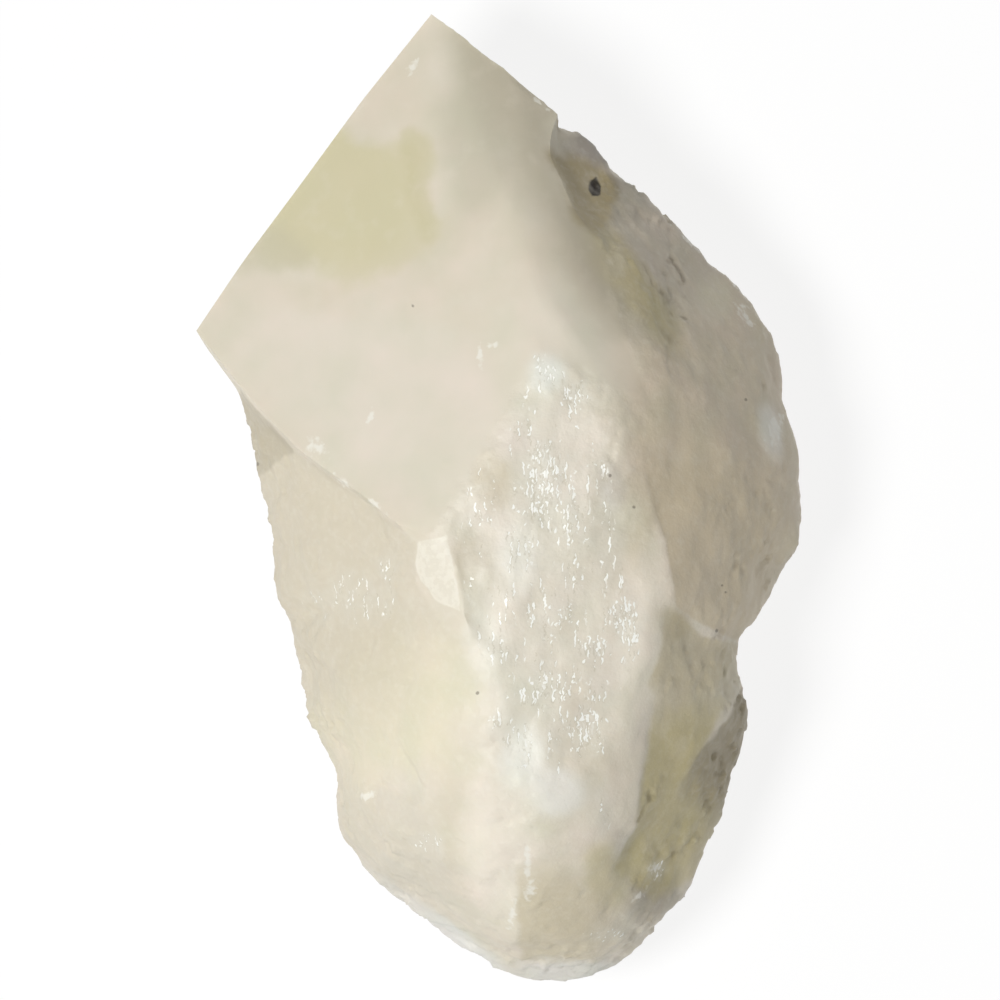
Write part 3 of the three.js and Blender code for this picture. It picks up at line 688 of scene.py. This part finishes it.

# colour that lies in the stone, and some painted shade and light: middle, half width and half height
# in mm, and turn in degrees
zones = {
    "warmShoulder": {"at": (26, 10), "size": (13, 22), "turn": 0, "paint": paint(203, 190, 166)},
    "warmUpper": {"at": (17, 30), "size": (9, 9), "turn": -40, "paint": paint(192, 182, 163)},
    "oliveBand": {"at": (15.6, 27), "size": (2.7, 8.5), "turn": 34, "paint": paint(187, 174, 128)},
    "underStain": {"at": (-19.5, 24.5), "size": (10, 3), "turn": -8, "paint": paint(213, 203, 181)},
    "oliveLow": {"at": (13, -46), "size": (2.8, 4.5), "turn": 15, "paint": paint(201, 191, 156)},
    # lighter lower front: partly its milky tone, partly painted light on faces turned down from the
    # key
    "lowFront": {"at": (1, -27), "size": (6, 12), "turn": 0, "paint": paint(223, 216, 199)},
    # painted shadow under the overhang, over a brown tone
    "notch": {"at": (20.8, -15.0), "size": (3.0, 1.6), "turn": -25, "paint": paint(186, 171, 134)},
    "yellowLow": {"at": (-13, -25), "size": (11, 10), "turn": 0, "paint": paint(224, 217, 191)},
    "paleKite": {"at": (-12, 12), "size": (22, 11), "turn": -35, "paint": paint(221, 213, 197)},
    # painted shade, greyish, where the cut tip begins to turn from the light
    "greyTopShade": {"at": (-3.0, 47), "size": (4.6, 11), "turn": 0, "paint": paint(196, 190, 169)},
    # painted shade in the pocket behind the tip, at its top, edge and side
    "pocketTop": {"at": (10.6, 43), "size": (3.4, 2.2), "turn": -25, "paint": paint(150, 143, 133)},
    "pocketEdge": {"at": (15.6, 36.8), "size": (2.8, 2.8), "turn": 0, "paint": paint(171, 163, 146)},
    "pocketSide": {"at": (13.2, 38), "size": (1.5, 1.8), "turn": 0, "paint": paint(134, 122, 98)},
    "scarWarm": {"at": (-4.0, -7.5), "size": (1.4, 4), "turn": 0, "paint": paint(200, 191, 169)},
    "scarMilk": {"at": (2.5, -7), "size": (3, 5), "turn": 0, "paint": paint(236, 230, 217)},
    "scarRight": {"at": (12.8, -3), "size": (2.4, 8), "turn": 5, "paint": paint(198, 191, 172)},
    "scarFoot": {"at": (-2.0, -17.5), "size": (2.4, 5), "turn": 8, "paint": paint(230, 224, 208)},
    "whiteFront": {"at": (2.5, -32), "size": (2.6, 4.5), "turn": 0, "paint": paint(246, 244, 233)},
    "whiteScar": {"at": (7, -36), "size": (4, 3), "turn": 0, "paint": paint(231, 229, 219)},
    "darkRoot": {"at": (19.5, -49), "size": (4, 3.2), "turn": 30, "paint": paint(166, 158, 138)},
    # painted light on a rim facet that catches the key light
    "litRimFacet": {"at": (33.4, 8.4), "size": (1.6, 3.6), "turn": 10, "paint": paint(232, 227, 217)},
    "lobe": {"at": (26.2, 24.3), "size": (2.2, 2.6), "turn": 0, "paint": paint(210, 201, 178)},
    "lowMilk": {"at": (0.5, -43), "size": (5, 9), "turn": 0, "paint": paint(234, 226, 210)},
    "scarBeige": {"at": (-0.8, 2.4), "size": (2.6, 3.6), "turn": 0, "paint": paint(208, 196, 172)},
    "scarGrey": {"at": (13.6, 2.0), "size": (1.8, 4), "turn": 8, "paint": paint(196, 189, 174)},
    "leftChips": {"at": (-19, -8), "size": (8, 4), "turn": 0, "paint": paint(222, 214, 199)},
    "whiteTop": {"at": (6, 15.5), "size": (3, 3), "turn": 0, "paint": paint(228, 228, 218)},
    "pinkShoulder": {"at": (24, -7), "size": (5, 6), "turn": 0, "paint": paint(222, 209, 190)},
    "paleStrip": {"at": (17, -19), "size": (3, 12), "turn": -8, "paint": paint(226, 219, 201)},
    # painted light on the thin lower rim and on the root's lower face
    "paleRim": {"at": (-8, -52.5), "size": (13, 1.6), "turn": -35, "paint": paint(226, 225, 219)},
    "paleRoot": {"at": (9, -59), "size": (9, 2.5), "turn": 0, "paint": paint(226, 224, 215)},
}

# where needles crowd together: middle, half width, half height in mm and how crowded they are
needleBeds = [
    (5.3, 1.5, 3.6, 6.5, 1.0), (9.0, 12.6, 2.2, 2.4, 0.9), (5.5, 15.8, 1.8, 2.6, 0.8),
    (15.2, -15.2, 2.8, 3.6, 0.92), (11.6, -17.9, 2.8, 1.5, 0.85), (6.2, -14.0, 4.8, 3.4, 0.68),
    (6.4, -22.6, 3.4, 3.0, 0.8), (10.8, -28.0, 3.2, 3.2, 0.88), (0.0, -17.8, 1.8, 3.0, 0.66),
    (12.8, 0.0, 0.9, 3.4, 0.66), (-2.0, -0.5, 2.4, 5.0, 0.5), (2.6, -7.0, 2.6, 3.6, 0.68),
    (0.5, -28.0, 1.8, 3.6, 0.6), (3.4, -30.4, 1.6, 2.6, 0.7), (-13.6, -8.4, 2.4, 2.0, 0.5),
    (-18.5, -12.0, 6.5, 3.4, 0.48), (-8.7, -41.8, 2.2, 1.8, 0.46), (19.4, -45.6, 2.0, 1.4, 0.5),
    (13.0, -53.5, 2.8, 1.4, 0.46), (12.4, -38.0, 1.6, 3.4, 0.42), (8.4, -1.8, 1.7, 4.2, 0.9),
]

glint = {"wander": (3.5, 2.0), "edge": (1.1, 0.1), "share": 0.7}
# small bright chips and veils, mostly painted highlights where they catch the light: middle, half
# sizes in mm, turn in degrees
glints = [
    (-22.2, 6.3, 1.6, 1.0, -40), (-19.4, 2.4, 1.2, 0.35, -40), (-15.2, -0.6, 1.6, 0.35, -40),
    (-10.8, 53.4, 0.5, 1.0, -30), (-16.0, 10.0, 0.4, 1.1, -20), (-2.4, 17.9, 0.4, 1.2, 0),
    (-0.8, 19.0, 0.8, 0.3, 20), (34.0, 8.6, 0.9, 2.0, -15), (30.3, 22.8, 0.7, 1.6, 30),
    (-16.3, -36.3, 1.2, 0.6, 20), (19.2, -45.3, 0.8, 0.6, 0), (17.0, -48.6, 1.0, 0.5, 30),
    (3.4, -44.0, 0.4, 2.4, 0), (3.7, -47.4, 0.9, 1.5, 0), (1.6, -50.6, 0.5, 1.6, -10),
    (5.0, 48.8, 1.3, 0.25, -43), (23.1, 32.1, 3.2, 0.3, -44), (29.3, 26.4, 1.6, 0.25, -52),
]

speck = {"wander": 2.0, "edge": (1.0, 0.3), "share": 0.6}
# tiny dark marks: middle and reach, mm
specks = [
    (-10.7, 23.8, 0.28), (-30.0, 4.5, 0.3), (16.3, -0.9, 0.3), (13.4, 3.0, 0.24),
    (-2.7, -23.5, 0.26), (30.3, 12.3, 0.26), (26.6, -16.1, 0.3), (27.2, -10.5, 0.25),
    (27.7, -11.3, 0.25),
]


def spotMask(points, at, size, turn, soft, solid, wander=0):
    # an ellipse of this half size: 1 inside the solid share of it, 0 outside the soft share
    turn = math.radians(turn)
    across, up = points[:, 0] - at[0], points[:, 1] - at[1]
    wide = (across * math.cos(turn) + up * math.sin(turn)) / size[0]
    high = (up * math.cos(turn) - across * math.sin(turn)) / size[1]
    return ease(np.hypot(wide, high) + wander, soft, solid)


def tintOf(points):
    milk, cloud = np.array(quartz["milk"]), np.array(quartz["cloud"])
    wander = hills(points, **quartz["clouds"])
    clouds = quartz["cloudShare"] * ease(wander, *quartz["cloudEdge"])
    tints = milk + clouds[:, None] * (cloud - milk)
    deep = quartz["zoneShare"] * ease(points[:, 2], *quartz["zoneHeight"])
    for zone in zones.values():
        mask = deep * spotMask(
            points, zone["at"], zone["size"], zone["turn"], **quartz["zoneEdge"], wander=wander
        )
        tints += mask[:, None] * (np.array(zone["paint"]) - tints)
    moods = hills(points, **quartz["moods"])
    return tints * (1 + moods[:, None] * quartz["mood"])


def stoneColour(sheet, patches, sugar, broken):
    colour = sheet.add("ShaderNodeAttribute", {"attribute_name": "tint"}, out="Color")
    for name, plane in planes.items():
        inward = sheet.stored(name) + (patches - 0.5) * (2 * plane["wander"])
        mask = inward.step(*plane["edge"]) * sheet.stored(name + "Fade")
        colour = sheet.mixed(mask * plane["amount"], colour, plane["paint"])
    mottle = quartz["facetMottle"]
    inFacet = sheet.stored("facet").step(*mottle["inward"])
    mottled = sugar.step(*mottle["edge"]) * inFacet * mottle["share"]
    colour = sheet.mixed(mottled, colour, planes["leftSide"]["paint"])
    cloudy = patches.step(*quartz["patchTint"]["edge"]) * quartz["patchTint"]["share"]
    colour = sheet.mixed(cloudy, colour, quartz["cloud"])
    sugary = sugar.step(*quartz["sugarTint"]["edge"]) * broken * quartz["sugarTint"]["share"]
    return sheet.mixed(sugary, colour, quartz["frostAndGlint"])


def needleMasks(sheet, bed, broken):
    # the bright needles with the flakes between them, partly painted glitter, and the painted shadow
    # beside each needle
    off, chance = sheet.cells(**needles["thin"])
    crowd = (chance + bed * needles["thinCrowd"]).step(*needles["thinChance"])
    thin = crowd * off.step(*needles["thinReach"])
    shadow = crowd * off.step(*needles["shadowReach"])
    off, chance = sheet.cells(**needles["flake"])
    crowd = (chance + bed * needles["flakeCrowd"]).step(*needles["flakeChance"])
    flake = crowd * off.step(*needles["flakeReach"])
    return thin.largest(flake) * broken, shadow * broken


def glintMask(sheet, flat, patches, sugar):
    away = skin["farOff"]
    for across, up, wide, high, turn in glints:
        turned = sheet.add("ShaderNodeMapping", {"vector_type": "TEXTURE"}, {
            "Vector": flat, "Location": (across, up, 0), "Rotation": (0, 0, math.radians(turn)),
            "Scale": (wide, high, 1),
        })
        length = sheet.add("ShaderNodeVectorMath", {"operation": "LENGTH"}, {0: turned}, out="Value")
        away = length.smallest(away)
    small, large = glint["wander"]
    ragged = away + (sugar - 0.5) * small + (patches - 0.5) * large
    return ragged.step(*glint["edge"]) * glint["share"]


def speckMask(sheet, flat, sugar):
    away = skin["farOff"]
    for across, up, reach in specks:
        sockets = {0: flat, 1: (across, up, 0)}
        length = sheet.add("ShaderNodeVectorMath", {"operation": "DISTANCE"}, sockets, out="Value")
        away = (length / reach).smallest(away)
    return (away + (sugar - 0.5) * speck["wander"]).step(*speck["edge"]) * speck["share"]


def milkyQuartz():
    sheet = Sheet("milkyQuartz")
    flat = sheet.moved((1, 1, 0))
    broken = 1 - sheet.stored("cutFace")
    bed = sheet.stored("needleBed")
    topSide = sheet.stored("topSide")
    patches = sheet.hills(**quartz["patches"])
    sugar = sheet.hills(**quartz["sugar"])
    fine = sheet.hills(**quartz["fine"])

    colour = stoneColour(sheet, patches, sugar, broken)
    chips, shadow = needleMasks(sheet, bed, broken)
    colour = sheet.mixed(bed * broken * needles["hazeShare"], colour, quartz["haze"])
    # painted shadow beside the needles, then the needles' white, partly painted glitter
    colour = sheet.mixed(shadow * needles["shadowShare"], colour, needles["shadowPaint"])
    colour = sheet.mixed(chips * needles["share"], colour, needles["paint"])
    # painted highlights: the glints
    bright = glintMask(sheet, flat, patches, sugar) * topSide
    colour = sheet.mixed(bright, colour, quartz["frostAndGlint"])
    dark = speckMask(sheet, flat, sugar) * topSide
    colour = sheet.mixed(dark, colour, quartz["speck"])

    bump = quartz["fineBump"]
    grainy = broken * (1 - bump["onCut"]) + bump["onCut"]
    normal = sheet.add("ShaderNodeBump", None, {
        "Strength": bump["strength"],
        "Distance": bump["height"],
        "Height": fine * grainy,
    })
    rough = patches * quartz["roughPatches"] + quartz["roughness"] - chips * needles["gloss"]
    shader = sheet.add("ShaderNodeBsdfPrincipled", {"subsurface_method": "BURLEY"}, {
        "Base Color": colour,
        "Roughness": rough,
        "Normal": normal,
        "IOR": quartz["refraction"],
        "Specular IOR Level": quartz["shine"],
        "Subsurface Weight": quartz["glow"],
        "Subsurface Radius": quartz["glowReach"],
        "Subsurface Scale": 1.0,
    })
    return sheet.show(shader)


def makeCrystal():
    body = refinedCopy(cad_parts["quartz_point"], "milkyCrystal")
    wearFacets(body.data)
    roughen(body.data)
    body.data.polygons.foreach_set("use_smooth", [True] * len(body.data.polygons))
    body.data.materials.append(milkyQuartz())
    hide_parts("quartz_point")
    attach(body, "root")
    print("crystal:", len(body.data.polygons), "triangles")


studio = {                     # floor, light and camera, in metres
    "white": (1, 1, 1, 1),
    "floorWidth": 3.0,
    "floorAt": -0.02 * mm,
    "floorPaint": paint(112, 112, 112),
    "floorGlow": 0.84,
    "keyFrom": (-0.38, -0.12, 0.92),
    "keyAway": 1.2,
    "keySize": 0.35,
    "keyPower": 11.4,
    "fill": 0.25,
    "lens": 500,
    "seenWidth": 123.58 * mm,      # how much the camera sees across, at the height it looks at
    "seenAt": 22 * mm,
}


def makeFloor():
    sheet = Sheet("paleFloor")
    shade = sheet.add("ShaderNodeBsdfDiffuse", None, {"Color": studio["floorPaint"]})
    sockets = {"Color": studio["white"], "Strength": studio["floorGlow"]}
    glow = sheet.add("ShaderNodeEmission", None, sockets)
    both = sheet.add("ShaderNodeAddShader", None, {0: shade, 1: glow})
    bpy.ops.mesh.primitive_plane_add(size=studio["floorWidth"], location=(0, 0, studio["floorAt"]))
    floor = bpy.context.object
    floor.name = "floor"
    floor.data.materials.append(sheet.show(both))


def makeLight():
    world = bpy.data.worlds.new("studio")
    world.use_nodes = True
    background = world.node_tree.nodes["Background"]
    background.inputs["Strength"].default_value = studio["fill"]
    background.inputs["Color"].default_value = studio["white"]
    bpy.context.scene.world = world
    key = bpy.data.lights.new("key", "AREA")
    key.shape = "DISK"
    key.size = studio["keySize"]
    key.energy = studio["keyPower"]
    lamp = bpy.data.objects.new("key", key)
    toward = Vector(studio["keyFrom"]).normalized()
    lamp.location = toward * studio["keyAway"]
    lamp.rotation_euler = toward.to_track_quat("Z", "Y").to_euler()
    bpy.context.scene.collection.objects.link(lamp)


def makeCamera():
    data = bpy.data.cameras.new("camera")
    data.lens = studio["lens"]
    camera = bpy.data.objects.new("camera", data)
    away = studio["lens"] / data.sensor_width * studio["seenWidth"]
    camera.location = (0, 0, away + studio["seenAt"])
    bpy.context.scene.collection.objects.link(camera)
    bpy.context.scene.camera = camera


makeFloor()
makeLight()
makeCamera()
makeCrystal()
bpy.context.scene.view_settings.view_transform = "Standard"
print("stage set")
